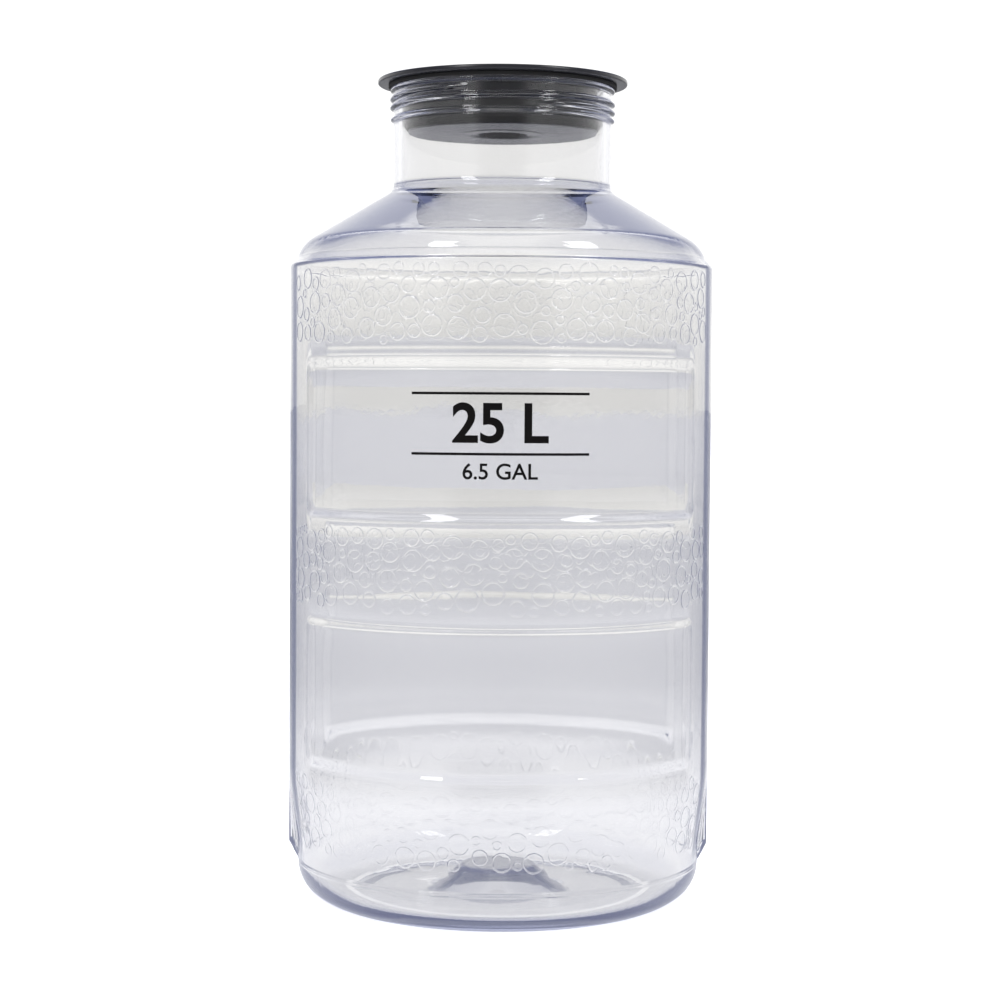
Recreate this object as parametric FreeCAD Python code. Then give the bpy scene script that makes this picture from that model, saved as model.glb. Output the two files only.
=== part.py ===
import FreeCAD, Part
import math
import os

# Wide-mouth carboy: a clear blow-moulded bottle, a black plug lid with two gaskets, and a drilled
# rubber stopper. Millimetres, +Z up, origin on the bottle's axis at the surface it stands on.
# The front panel faces -Y; the smooth side pillars are at +X and -X.

# ---- driving dimensions ----
BODY_R = 139.7            # outside radius of the body: 11 inches across
WALL = 2.0                # body wall
HEEL_R = 133.5            # radius at the top of the rounded heel
HEEL_FOOT_R = 114.7       # the heel's curve is two arcs, one about a corner on the ground
HEEL_FOOT_ROUND = 33.0
HEEL_EDGE = 14.7          # and one about a corner at this height on its side
HEEL_EDGE_ROUND = 23.0
INNER_HEEL_FOOT_R = 112.5
INNER_HEEL_FOOT_ROUND = 30.0
INNER_HEEL_EDGE = 17.0
INNER_HEEL_EDGE_ROUND = 20.0
HEEL_WALL = 2.2           # at the top of the heel
HEEL_TOP = 27.5           # where the bevel out to the side pillars begins
BODY_BOTTOM = 38.5        # where that bevel ends
FRONT_FOOT = 93.0         # the front and back slope gently out to the body up to here
FRONT_HALF_ANGLE = 84.0   # degrees from the middle of the front to the side pillars
BODY_TOP = 421.0          # where the body steps in to the shoulder
STEP = 5.0                # height of the small step up to the shoulder
STEP_R = 135.0            # outside, at the top of that step
SHOULDER_R = 132.1        # where the rounded edge of the shoulder meets its cone
SHOULDER_EDGE = 434.8
INNER_STEP_R = 133.2
INNER_SHOULDER_R = 130.3
INNER_SHOULDER_EDGE = 433.3

PUNT_R = 25.0             # flat top of the hump in the base
PUNT_TOP = 22.0           # height of the hump, inside
BASE_WALL = 5.5
PUNT_FOOT_R = 38.0        # where the hump's flank reaches the base
BASE_RISE = 2.4           # the base stands clear of the ground at the hump
FOOT_LIP_R = 86.0         # the base dips from here to the ring it stands on
FOOT_LIP = 1.8
FOOT_R = 98.0             # inner edge of the ring it stands on
BASE_TOP = 6.0            # inside of the base, at the hump
HEEL_BASE_TOP = 4.4       # inside of the base, towards the heel

PANEL_DEPTH = 3.2         # how far the plain panels lie below the body
PANEL_ROUND = 3.0
PANEL_HALF_ANGLE = 64.0   # degrees from a panel's middle to its side edge
SIDE_WALL_ANGLE = 1.0     # degrees of wall beside a panel's side edge
LOWER_PANEL = (94.0, 106.0, 186.0, 198.0)    # foot of slope, floor, floor, head of slope
UPPER_PANEL = (256.0, 264.0, 350.0, 364.0)

NECK_R = 72.0             # outside radius of the plain neck
MOUTH_R = 66.5            # inside radius of the neck
NECK_FOOT = 470.6         # where the shoulder cone would meet the neck
INNER_NECK_FOOT = 466.4
NECK_FOOT_ROUND = 9.0
NECK_STEP = 0.4           # the threaded length of the neck is this much wider
LIP_TOP = 538.3
LIP_R = 74.2
THREAD_PITCH = 5.45
THREAD_START = -72.0      # degrees from +X
THREAD_TURNS = 1.9
THREAD_FOOT = 521.5
THREAD_HEIGHT = 2.5
RIDGE_ROOT = 1.0          # how far thread and bead are rooted in the neck's wall
RIDGE_HALF = 1.9          # half the height of the thread's section at its root
CREST_HALF = 0.6
BEAD_HEIGHT = 517.3       # the plain ring below the thread
BEAD_HALF = 2.2
BEAD_CREST_HALF = 0.8

FLANGE_R = 82.5
FLANGE_THICK = 3.3
FLANGE_TOP = 544.0
PLUG_R = 63.0
PLUG_WALL = 2.6
PLUG_BOTTOM = 508.2
PLUG_FLOOR = 3.2
HOLE_R = 16.6             # stopper hole, at the plug's underside
HOLE_TAPER = 0.08         # growth of radius per height, in the stopper and its hole
BOSS_R = 22.5
BOSS_TOP = 534.0
RING_STEP = 0.4           # the plug's underside is this much higher outside a ring round the hole
RING_WIDTH = 4.5
RIB_COUNT = 8
RIB_THICK = 2.2
RIB_TOP = 516.0
RIB_ROOT = 0.5            # how far the ribs reach into the floor, the boss and the plug's wall

GASKET_R = 66.2           # plug gasket: 0.3 less than the mouth
GASKET_BOTTOM = 509.8
GASKET_TOP = 524.0
GASKET_BEVEL = 2.2
GASKET_BEVEL_RISE = 3.0
RIM_GASKET_R = 75.6
STOPPER_CLEARANCE = 0.3
STOPPER_BOTTOM = 514.2
STOPPER_TOP = 541.5
AIRLOCK_R = 4.7

UP = FreeCAD.Vector(0, 0, 1)
ORIGIN = FreeCAD.Vector(0, 0, 0)


def at(radius, height):
    """A point of an outline, in the plane of the axis."""
    return FreeCAD.Vector(radius, 0, height)


def rounded_outline(corners):
    """Straight runs between (radius, height, round) corners, each corner rounded by a tangent arc."""
    edges = []
    count = len(corners)
    ends = []
    for i in range(count):
        here = at(corners[i][0], corners[i][1])
        size = corners[i][2]
        if size == 0:
            ends.append((here, here))
            continue
        back = (at(*corners[i - 1][:2]) - here).normalize()
        ahead = (at(*corners[(i + 1) % count][:2]) - here).normalize()
        half = back.getAngle(ahead) / 2
        start = here + back * (size / math.tan(half))
        finish = here + ahead * (size / math.tan(half))
        inward = (back + ahead).normalize()
        middle = here + inward * (size / math.sin(half) - size)
        ends.append((start, finish))
        edges.append(Part.Arc(start, middle, finish).toShape())
    for i in range(count):
        start = ends[i][1]
        finish = ends[(i + 1) % count][0]
        if (finish - start).Length > 1e-6:
            edges.append(Part.makeLine(start, finish))
    return Part.Face(Part.Wire(Part.__sortEdges__(edges)))


def turned(corners):
    """The solid that a closed outline sweeps round the bottle's axis."""
    return rounded_outline(corners).revolve(ORIGIN, UP, 360)


def tube(inner, outer, bottom, top):
    """A plain upright ring."""
    return turned([(inner, bottom, 0), (outer, bottom, 0), (outer, top, 0), (inner, top, 0)])


# ---- bottle ----
def without_panels(body, floor_radius, half_angle):
    """The body less a pair of front and back recesses at each panel height, with sloped heads and feet."""
    beyond = BODY_R + 20
    slope = (beyond - floor_radius) / PANEL_DEPTH
    for foot, low, high, head in (LOWER_PANEL, UPPER_PANEL):
        section = rounded_outline([
            (floor_radius, low, PANEL_ROUND),
            (floor_radius, high, PANEL_ROUND),
            (beyond, high + (head - high) * slope, 0),
            (beyond, low - (low - foot) * slope, 0),
        ])
        for middle in (-90, 90):
            start = section.copy()
            start.rotate(ORIGIN, UP, middle - half_angle)
            body = body.cut(start.revolve(ORIGIN, UP, 2 * half_angle))
    return body


def without_front_foot(body, heel_radius, body_radius, low):
    """The body less what lies outside a gentle slope at the foot of its front and back."""
    beyond = BODY_R + 20
    section = rounded_outline([
        (heel_radius, low, 0),
        (beyond, low, 0),
        (beyond, FRONT_FOOT, 0),
        (body_radius, FRONT_FOOT, 0),
    ])
    for middle in (-90, 90):
        start = section.copy()
        start.rotate(ORIGIN, UP, middle - FRONT_HALF_ANGLE)
        body = body.cut(start.revolve(ORIGIN, UP, 2 * FRONT_HALF_ANGLE))
    return body


def bottle_outside():
    """The full outside of the bottle, as one solid without the cavity."""
    body = turned([
        (0, PUNT_TOP - BASE_WALL, 0),
        (PUNT_R - 3, PUNT_TOP - BASE_WALL, 5),
        (PUNT_FOOT_R, BASE_RISE, 24),
        (FOOT_LIP_R, FOOT_LIP, 15),
        (FOOT_R, 0, 8),
        (HEEL_FOOT_R, 0, HEEL_FOOT_ROUND),
        (HEEL_R, HEEL_EDGE, HEEL_EDGE_ROUND),
        (HEEL_R, HEEL_TOP, 6),
        (BODY_R, BODY_BOTTOM, 4),
        (BODY_R, BODY_TOP, 3),
        (STEP_R, BODY_TOP + STEP, 1.5),
        (SHOULDER_R, SHOULDER_EDGE, 22),
        (NECK_R, NECK_FOOT, NECK_FOOT_ROUND),
        (NECK_R, BEAD_HEIGHT - 5.0, 2),
        (NECK_R + NECK_STEP, BEAD_HEIGHT - 3.0, 1),
        (NECK_R + NECK_STEP, LIP_TOP - 4.5, 1),
        (LIP_R, LIP_TOP - 3.0, 0.8),
        (LIP_R, LIP_TOP, 1.2),
        (0, LIP_TOP, 0),
    ])
    body = without_front_foot(body, HEEL_R, BODY_R, HEEL_TOP - 0.1)
    return without_panels(body, BODY_R - PANEL_DEPTH, PANEL_HALF_ANGLE)


def bottle_cavity():
    """The space inside, which follows the outside a wall's thickness in."""
    inner = BODY_R - WALL
    space = turned([
        (0, PUNT_TOP, 0),
        (PUNT_R, PUNT_TOP, 6),
        (PUNT_FOOT_R + 3, BASE_TOP, 22),
        (INNER_HEEL_FOOT_R, HEEL_BASE_TOP, INNER_HEEL_FOOT_ROUND),
        (HEEL_R - HEEL_WALL, INNER_HEEL_EDGE, INNER_HEEL_EDGE_ROUND),
        (HEEL_R - HEEL_WALL, HEEL_TOP + 2, 6),
        (inner, BODY_BOTTOM + 2, 4),
        (inner, BODY_TOP - 0.8, 1),
        (INNER_STEP_R, BODY_TOP + STEP - 1.0, 3.5),
        (INNER_SHOULDER_R, INNER_SHOULDER_EDGE, 20),
        (MOUTH_R, INNER_NECK_FOOT, NECK_FOOT_ROUND - 1),
        (MOUTH_R, LIP_TOP + 5, 0),
        (0, LIP_TOP + 5, 0),
    ])
    space = without_front_foot(space, HEEL_R - HEEL_WALL, inner, HEEL_TOP)
    return without_panels(space, BODY_R - PANEL_DEPTH - WALL, PANEL_HALF_ANGLE + SIDE_WALL_ANGLE)


def thread():
    """The helical ridge outside the mouth, rooted inside the neck wall."""
    root = NECK_R - RIDGE_ROOT
    crest = NECK_R + THREAD_HEIGHT
    path = Part.makeHelix(THREAD_PITCH, THREAD_PITCH * THREAD_TURNS, root)
    path.translate(FreeCAD.Vector(0, 0, THREAD_FOOT))
    corners = [at(root, THREAD_FOOT - RIDGE_HALF), at(crest, THREAD_FOOT - CREST_HALF)]
    corners += [at(crest, THREAD_FOOT + CREST_HALF), at(root, THREAD_FOOT + RIDGE_HALF)]
    section = Part.makePolygon(corners + corners[:1])
    ridge = Part.Wire(path).makePipeShell([section], True, True)
    ridge.rotate(ORIGIN, UP, THREAD_START)
    return ridge


def bead():
    """The plain ring below the thread."""
    root = NECK_R - RIDGE_ROOT
    crest = NECK_R + THREAD_HEIGHT - 0.2
    return turned([
        (root, BEAD_HEIGHT - BEAD_HALF, 0),
        (crest, BEAD_HEIGHT - BEAD_CREST_HALF, 0.6),
        (crest, BEAD_HEIGHT + BEAD_CREST_HALF, 0.6),
        (root, BEAD_HEIGHT + BEAD_HALF, 0),
    ])


def bottle():
    outside = bottle_outside().fuse(bead()).fuse(thread())
    return outside.cut(bottle_cavity()).removeSplitter()


# ---- lid ----
def hole_radius(height):
    """The stopper hole widens upwards with the stopper's taper."""
    return HOLE_R + HOLE_TAPER * (height - PLUG_BOTTOM)


def lid():
    cup = turned([
        (hole_radius(PLUG_BOTTOM), PLUG_BOTTOM, 0),
        (BOSS_R + RING_WIDTH, PLUG_BOTTOM, 0),
        (BOSS_R + RING_WIDTH + RING_STEP, PLUG_BOTTOM + RING_STEP, 0),
        (PLUG_R, PLUG_BOTTOM + RING_STEP, 0.8),
        (PLUG_R, FLANGE_TOP - FLANGE_THICK, 0.6),
        (FLANGE_R, FLANGE_TOP - FLANGE_THICK, 1.6),
        (FLANGE_R, FLANGE_TOP, 1.6),
        (PLUG_R - PLUG_WALL, FLANGE_TOP, 1.5),
        (PLUG_R - PLUG_WALL - 0.6, PLUG_BOTTOM + PLUG_FLOOR, 2.0),
        (BOSS_R, PLUG_BOTTOM + PLUG_FLOOR, 1.0),
        (BOSS_R, BOSS_TOP, 1.0),
        (hole_radius(BOSS_TOP), BOSS_TOP, 0),
    ])
    rib_low = PLUG_BOTTOM + PLUG_FLOOR - RIB_ROOT
    for i in range(RIB_COUNT):
        rib = Part.makeBox(
            PLUG_R - PLUG_WALL - BOSS_R + 2 * RIB_ROOT,
            RIB_THICK,
            RIB_TOP - rib_low,
            FreeCAD.Vector(BOSS_R - RIB_ROOT, -RIB_THICK / 2, rib_low),
        )
        rib.rotate(ORIGIN, UP, (i + 0.5) * 360 / RIB_COUNT)
        cup = cup.fuse(rib)
    return cup.removeSplitter()


def rim_gasket():
    """Flat ring that the flange presses on the bottle's lip."""
    return tube(PLUG_R + 0.3, RIM_GASKET_R, LIP_TOP, FLANGE_TOP - FLANGE_THICK)


def plug_gasket():
    """Rubber band round the plug, with its leading edge bevelled."""
    return turned([
        (PLUG_R, GASKET_BOTTOM, 0),
        (GASKET_R - GASKET_BEVEL, GASKET_BOTTOM, 0),
        (GASKET_R, GASKET_BOTTOM + GASKET_BEVEL_RISE, 0.8),
        (GASKET_R, GASKET_TOP, 0.8),
        (PLUG_R, GASKET_TOP, 0),
    ])


def stopper():
    """Tapered, drilled stopper that fills the lid's hole."""
    return turned([
        (AIRLOCK_R, STOPPER_BOTTOM, 0),
        (hole_radius(STOPPER_BOTTOM) - STOPPER_CLEARANCE, STOPPER_BOTTOM, 1.0),
        (hole_radius(STOPPER_TOP) - STOPPER_CLEARANCE, STOPPER_TOP, 1.2),
        (AIRLOCK_R, STOPPER_TOP, 0),
    ])


os.makedirs("parts", exist_ok=True)
for name, make in (
    ("bottle", bottle),
    ("lid", lid),
    ("rim_gasket", rim_gasket),
    ("plug_gasket", plug_gasket),
    ("stopper", stopper),
):
    shape = make()
    print(name, shape.ShapeType, "valid", shape.isValid(), "volume cm3", round(shape.Volume / 1000, 1))
    shape.exportStep("parts/" + name + ".step")

room = bottle_cavity()
print("brimful litres", round(room.Volume / 1e6, 2))
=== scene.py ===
"""Wide-mouth carboy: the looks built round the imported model, laid out as an add-on and run as a script."""

import math
import random

import bmesh
import bpy
from mathutils import Matrix, Vector, geometry, noise


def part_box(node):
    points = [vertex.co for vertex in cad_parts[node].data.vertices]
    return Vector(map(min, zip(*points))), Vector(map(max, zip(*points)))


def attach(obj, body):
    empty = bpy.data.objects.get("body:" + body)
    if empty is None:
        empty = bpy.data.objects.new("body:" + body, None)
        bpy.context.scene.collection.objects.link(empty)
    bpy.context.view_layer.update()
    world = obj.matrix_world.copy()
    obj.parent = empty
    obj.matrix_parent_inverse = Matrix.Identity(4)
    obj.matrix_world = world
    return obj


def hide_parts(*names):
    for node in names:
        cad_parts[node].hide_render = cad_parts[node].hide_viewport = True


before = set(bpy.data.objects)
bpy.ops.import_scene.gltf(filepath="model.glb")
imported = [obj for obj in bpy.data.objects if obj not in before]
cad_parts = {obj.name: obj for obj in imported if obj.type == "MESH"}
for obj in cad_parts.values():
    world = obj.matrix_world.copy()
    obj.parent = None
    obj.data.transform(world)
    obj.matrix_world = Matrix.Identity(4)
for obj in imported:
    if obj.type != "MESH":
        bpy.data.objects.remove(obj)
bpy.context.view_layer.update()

bl_info = {
    "name": "Wide-mouth carboy",
    "version": (1, 0, 0),
    "blender": (4, 5, 0),
    "location": "View3D > Sidebar > Carboy",
    "description": "Builds a clear plastic carboy with a black plug lid, gaskets and a drilled stopper",
    "category": "Object",
}

MM = 0.001
BOTTLE_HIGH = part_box("bottle")[1]
LID_LOW, LID_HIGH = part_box("lid")
STOPPER_LOW, STOPPER_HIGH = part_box("stopper")
PLUG_GASKET_LOW, PLUG_GASKET_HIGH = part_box("plug_gasket")
RIM_GASKET_LOW, RIM_GASKET_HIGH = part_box("rim_gasket")


def length(name, about, default, **more):
    """A size in metres that a user can change."""
    return bpy.props.FloatProperty(
        name=name, description=about, default=default, subtype="DISTANCE", unit="LENGTH", precision=4, **more
    )


def number(name, about, default, **more):
    return bpy.props.FloatProperty(name=name, description=about, default=default, **more)


def count(name, about, default, **more):
    return bpy.props.IntProperty(name=name, description=about, default=default, **more)


def wording(name, about, default):
    return bpy.props.StringProperty(name=name, description=about, default=default)


def colour(name, about, default):
    return bpy.props.FloatVectorProperty(
        name=name, description=about, default=default, subtype="COLOR", size=3, min=0.0, max=1.0
    )


class CarboyBottleSettings(bpy.types.PropertyGroup):
    body_radius: length("Body radius", "Outside of the smooth side pillars", BOTTLE_HIGH[0])
    wall: length("Wall", "Thickness of the body wall", 2.0 * MM)
    set_back: length("Set-back", "How far the bands lie below the side pillars", 0.7 * MM)
    panel_depth: length("Panel depth", "How far the plain panels lie below the pillars", 3.2 * MM)
    panel_angle: number("Panel half angle", "From a panel's middle to its side edge, in degrees", 64.0)
    side_slope: number("Side slope", "Degrees over which a panel's side edge falls", 3.6)
    band_angle: number("Band half angle", "From a textured band's middle to its end, in degrees", 73.0)
    foot_angle: number("Foot half angle", "From the front's middle to its foot's end, in degrees", 84.0)
    heel_radius: length("Heel radius", "Outside at the top of the rounded heel", 133.5 * MM)
    front_foot: length("Front foot", "Height at which the front reaches its full width", 93.0 * MM)
    neck_radius: length("Neck radius", "Outside of the plain neck", 72.0 * MM)
    mouth_radius: length("Mouth radius", "Inside of the neck", 66.5 * MM)
    thread_height: length("Thread height", "How far the thread stands off the neck", 2.5 * MM)
    thread_pitch: length("Thread pitch", "Rise of the thread in one turn", 5.45 * MM)
    thread_turns: number("Thread turns", "How often the thread goes round", 1.9)
    waviness: length("Waviness", "Slow unevenness of the blown walls", 0.10 * MM)
    tint: colour("Tint", "What each surface of the plastic lets through", (0.905, 0.900, 0.886))
    thick_tint: colour("Thick tint", "The same where plastic gathers, heel and shoulder", (0.20, 0.23, 0.42))
    # painted glow: the plastic emits this colour where a ray has crossed many surfaces; it is painted light,
    # not a lamp
    painted_trapped_glow: colour("Trapped light", "Glow of light that is caught in thick plastic", (0.22, 0.24, 0.36))
    depth_tint: colour("Depth tint", "Colour that thick plastic takes", (0.20, 0.26, 0.55))
    depth_strength: number("Depth strength", "Absorption per metre behind the depth tint", 8.0)


class CarboyRingSettings(bpy.types.PropertyGroup):
    smallest: length("Smallest", "Radius of the smallest bubble ring", 2.6 * MM)
    largest: length("Largest", "Radius of the largest bubble ring", 7.0 * MM)
    ridge: length("Ridge half width", "Half the width of a ring's raised line", 0.6 * MM)
    rise: length("Rise", "How far a ring's crest stands off the band", 0.26 * MM)
    gap: length("Gap", "Least space between two rings", 0.2 * MM)
    corners: count("Corners", "Points round each ring", 14, min=8)
    seed: count("Seed", "Fixes where the rings fall", 7)


class CarboyPrintSettings(bpy.types.PropertyGroup):
    capacity: wording("Capacity", "Large figures of the capacity mark", "25 L")
    second: wording("Second unit", "Smaller line below", "6.5 GAL")
    width: length("Width", "Width of the printed rules", 112.0 * MM)
    centre_height: length("Centre height", "Height of the mark's middle on the upper panel", 311.0 * MM)
    ink_gap: length("Ink gap", "Space between the ink's back and the panel", 0.03 * MM)
    ink_thickness: length("Ink thickness", "Thickness of the ink", 0.10 * MM)
    ink: colour("Ink", "Colour of the ink", (0.003, 0.002, 0.002))


class CarboyLidSettings(bpy.types.PropertyGroup):
    flange_radius: length("Flange radius", "Outside of the flange", LID_HIGH[0])
    flange_thickness: length("Flange thickness", "Thickness of the flange", 3.3 * MM)
    plug_radius: length("Plug radius", "Outside of the plug's wall", 63.0 * MM)
    plug_wall: length("Plug wall", "Thickness of the plug's wall", 2.6 * MM)
    plug_floor: length("Plug floor", "Thickness of the plug's floor", 3.2 * MM)
    boss_radius: length("Boss radius", "Outside of the boss that holds the stopper", 22.5 * MM)
    boss_top: length("Boss top", "Height of the boss above the ground", 534.0 * MM)
    hole_radius: length("Hole radius", "Stopper hole at the plug's underside", 16.6 * MM)
    taper: number("Taper", "How much the stopper and its hole widen for each unit of height", 0.08)
    rib_count: count("Ribs", "Stiffening ribs in the lid's cup", 8, min=3)
    rib_thickness: length("Rib thickness", "Thickness of a rib", 2.2 * MM)
    rib_top: length("Rib top", "Height of the ribs' top edge", 516.0 * MM)
    airlock_radius: length("Airlock radius", "Radius of the stopper's drilled hole", 4.7 * MM)
    plastic: colour("Plastic", "Colour of the moulded lid", (0.0015, 0.0015, 0.002))
    rubber: colour("Rubber", "Colour of the gaskets and stopper", (0.002, 0.002, 0.002))


class CarboyStageSettings(bpy.types.PropertyGroup):
    camera_distance: length("Camera distance", "From the bottle's axis to the camera", 1.552)
    camera_height: length("Camera height", "Height of the camera above the floor", 0.333)
    camera_pitch: number("Camera pitch", "How far the camera looks down, in degrees", 2.46)
    camera_roll: number("Camera roll", "Turn about the line of sight, in degrees", 0.39)
    focal_length: number("Focal length", "In millimetres on a 36 mm frame", 83.77)
    backdrop: number("Backdrop", "Brightness of the studio as the camera sees it", 1.15)
    low_light: number("Low light", "Brightness of the studio near the floor, through the bottle", 0.92)
    high_light: number("High light", "Brightness of the studio above the bottle's neck", 1.22)
    overhead: number("Overhead", "How much brighter the strip overhead is", 1.5)
    dark_side: colour("Dark side", "What is left of the light high up on either side", (0.10, 0.12, 0.24))
    front_gap: number("Front gap", "Light left at the camera, for reflections inside the plastic", 0.12)
    direct_gap: number("Direct gap", "The same for reflections off an outer surface", 0.06)
    soft_box: number("Soft box", "Power of each of the two front lights, in watts", 7.0)


def smooth(t):
    """An even ramp from 0 to 1."""
    t = min(1.0, max(0.0, t))
    return t * t * (3.0 - 2.0 * t)


def rounded_path(corners, step=math.radians(9)):
    """Points along straight runs between (radius, height, round) corners, with an arc at each corner."""
    path = []
    for i, (radius, height, size) in enumerate(corners):
        here = Vector((radius, height))
        if size == 0 or i in (0, len(corners) - 1):
            path.append(here)
            continue
        back = (Vector(corners[i - 1][:2]) - here).normalized()
        ahead = (Vector(corners[i + 1][:2]) - here).normalized()
        half = back.angle(ahead) / 2
        centre = here + (back + ahead).normalized() * (size / math.sin(half))
        start = here + back * (size / math.tan(half)) - centre
        finish = here + ahead * (size / math.tan(half)) - centre
        turn = start.angle_signed(finish)
        count = max(1, math.ceil(abs(turn) / step))
        for k in range(count + 1):
            path.append(centre + Matrix.Rotation(-turn * k / count, 2) @ start)
    return path


def filled(path, longest):
    """The path with extra points, so that no run above it is longer than that."""
    out = [path[0]]
    for a, b in zip(path, path[1:]):
        count = max(1, math.ceil((b - a).length / longest))
        out += [a.lerp(b, k / count) for k in range(1, count + 1)]
    return out


# ---- node helpers ----
def socket(tree, name, kind, way="INPUT"):
    return tree.interface.new_socket(name, in_out=way, socket_type=kind)


def add(tree, kind, inputs=None, **settings):
    """A node with its settings, and with inputs set or linked, by name or number."""
    node = tree.nodes.new(kind)
    for key, value in settings.items():
        setattr(node, key, value)
    for key, value in (inputs or {}).items():
        if isinstance(value, bpy.types.NodeSocket):
            tree.links.new(value, node.inputs[key])
        else:
            node.inputs[key].default_value = value
    return node


def reckon(tree, operation, *values, **settings):
    """The result of a sum on sockets and plain numbers."""
    return add(tree, "ShaderNodeMath", dict(enumerate(values)), operation=operation, **settings).outputs[0]


def shared(tree, share, first, second):
    """A shader that goes from the first to the second as the share goes from 0 to 1."""
    return add(tree, "ShaderNodeMixShader", {0: share, 1: first.outputs[0], 2: second.outputs[0]})


def blend(tree, share, first, second):
    """A colour that goes from the first to the second as the share goes from 0 to 1."""
    pair = [c if isinstance(c, bpy.types.NodeSocket) else (*c, 1.0) for c in (first, second)]
    return add(tree, "ShaderNodeMix", {0: share, 6: pair[0], 7: pair[1]}, data_type="RGBA").outputs[2]


def level(tree, source, low, high, start, finish, ease="SMOOTHSTEP"):
    """A value that runs from start to finish as the source goes from low to high."""
    values = {"Value": source, "From Min": low, "From Max": high, "To Min": start, "To Max": finish}
    return add(tree, "ShaderNodeMapRange", values, interpolation_type=ease).outputs["Result"]


def distance(tree, place):
    """How far a place lies from the origin."""
    return add(tree, "ShaderNodeVectorMath", {0: place}, operation="LENGTH").outputs["Value"]


def new_material(name):
    material = bpy.data.materials.new(name)
    material.use_nodes = True
    material.node_tree.nodes.clear()
    return material, material.node_tree


def uneven_group():
    """Shader group: slow cloudiness, fine grain and thin scuffs, as values that vary over the surface."""
    found = bpy.data.node_groups.get("Uneven surface")
    if found:
        return found
    tree = bpy.data.node_groups.new("Uneven surface", "ShaderNodeTree")
    for name in ("Base Roughness", "Cloud Amount", "Scuff Amount", "Grain Scale"):
        socket(tree, name, "NodeSocketFloat")
    for name in ("Roughness", "Scuffs", "Grain"):
        socket(tree, name, "NodeSocketFloat", "OUTPUT")
    given = add(tree, "NodeGroupInput").outputs
    place = add(tree, "ShaderNodeTexCoord").outputs["Object"]
    cloud = add(tree, "ShaderNodeTexNoise", {"Vector": place, "Scale": 22.0, "Detail": 3.0}).outputs["Fac"]
    stretched = add(tree, "ShaderNodeMapping", {"Vector": place, "Scale": (1.0, 1.0, 0.25)}).outputs["Vector"]
    scratch = add(tree, "ShaderNodeTexNoise", {
        "Vector": stretched, "Scale": 420.0, "Detail": 6.0, "Distortion": 2.5,
    }).outputs["Fac"]
    sparse = add(tree, "ShaderNodeValToRGB", {"Fac": scratch})
    sparse.color_ramp.elements[0].position = 0.62
    sparse.color_ramp.elements[1].position = 0.72
    scuffs = sparse.outputs["Color"]
    grain = add(tree, "ShaderNodeTexNoise", {"Vector": place, "Scale": given["Grain Scale"], "Detail": 2.0})
    centred = reckon(tree, "SUBTRACT", cloud, 0.5)
    clouded = reckon(tree, "MULTIPLY_ADD", centred, given["Cloud Amount"], given["Base Roughness"])
    scuffed = reckon(tree, "MULTIPLY_ADD", scuffs, given["Scuff Amount"], clouded, use_clamp=True)
    add(tree, "NodeGroupOutput", {"Roughness": scuffed, "Scuffs": scuffs, "Grain": grain.outputs["Fac"]})
    return tree


def uneven(tree, roughness, cloud, scuff, grain_scale):
    """The outputs of the uneven surface with these settings."""
    names = ("Base Roughness", "Cloud Amount", "Scuff Amount", "Grain Scale")
    values = dict(zip(names, (roughness, cloud, scuff, grain_scale)))
    return add(tree, "ShaderNodeGroup", values, node_tree=uneven_group()).outputs


# ---- materials ----
PLASTIC_INDEX = 1.57
MOST_CROSSINGS = 5.5


def clear_plastic(bottle):
    """Clear blown plastic: glassy, faintly scuffed, blue-violet where it is thick, with a painted glow where
    a ray has crossed many surfaces.
    """
    material, tree = new_material("clear_plastic")
    surface = uneven(tree, 0.012, 0.01, 0.02, 260.0)
    bump = add(tree, "ShaderNodeBump", {"Strength": 0.05, "Distance": 0.2 * MM, "Height": surface["Grain"]})
    place = add(tree, "ShaderNodeTexCoord").outputs["Object"]
    parts = add(tree, "ShaderNodeSeparateXYZ", {0: place}).outputs
    flat = add(tree, "ShaderNodeCombineXYZ", {"X": parts["X"], "Y": parts["Y"]}).outputs[0]
    ray = add(tree, "ShaderNodeLightPath").outputs
    # the heel is tinted on the first surface only, so that its far side does not show through
    low = level(tree, parts["Z"], 9.0 * MM, 16.0 * MM, 1.0, 0.0)
    wide = level(tree, distance(tree, flat), 96.0 * MM, 108.0 * MM, 0.0, 1.0)
    first = reckon(tree, "LESS_THAN", ray["Transmission Depth"], 0.5)
    heel = reckon(tree, "MULTIPLY", reckon(tree, "MULTIPLY", low, wide), first)
    rising = level(tree, parts["Z"], 424.0 * MM, 440.0 * MM, 0.0, 0.08)
    falling = level(tree, parts["Z"], 448.0 * MM, 474.0 * MM, 1.0, 0.0)
    thick = reckon(tree, "MAXIMUM", heel, reckon(tree, "MULTIPLY", rising, falling))
    shader = add(tree, "ShaderNodeBsdfPrincipled", {
        "Base Color": blend(tree, thick, bottle.tint, bottle.thick_tint),
        "Roughness": surface["Roughness"],
        "IOR": PLASTIC_INDEX,
        "Transmission Weight": 1.0,
        "Normal": bump.outputs["Normal"],
    })
    through = add(tree, "ShaderNodeBsdfTransparent", {"Color": (0.90, 0.905, 0.92, 1.0)})
    lit = shared(tree, ray["Is Shadow Ray"], shader, through)
    # light that has crossed this often is caught between two surfaces and would come out black, so the
    # plastic is given a painted glow there instead, though it is no lamp
    caught = reckon(tree, "GREATER_THAN", ray["Ray Depth"], MOST_CROSSINGS)
    glow = add(tree, "ShaderNodeEmission", {"Color": (*bottle.painted_trapped_glow, 1.0)})
    either = shared(tree, caught, lit, glow)
    depth = add(tree, "ShaderNodeVolumeAbsorption", {
        "Color": (*bottle.depth_tint, 1.0), "Density": bottle.depth_strength,
    })
    add(tree, "ShaderNodeOutputMaterial", {"Surface": either.outputs[0], "Volume": depth.outputs[0]})
    return material


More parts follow.
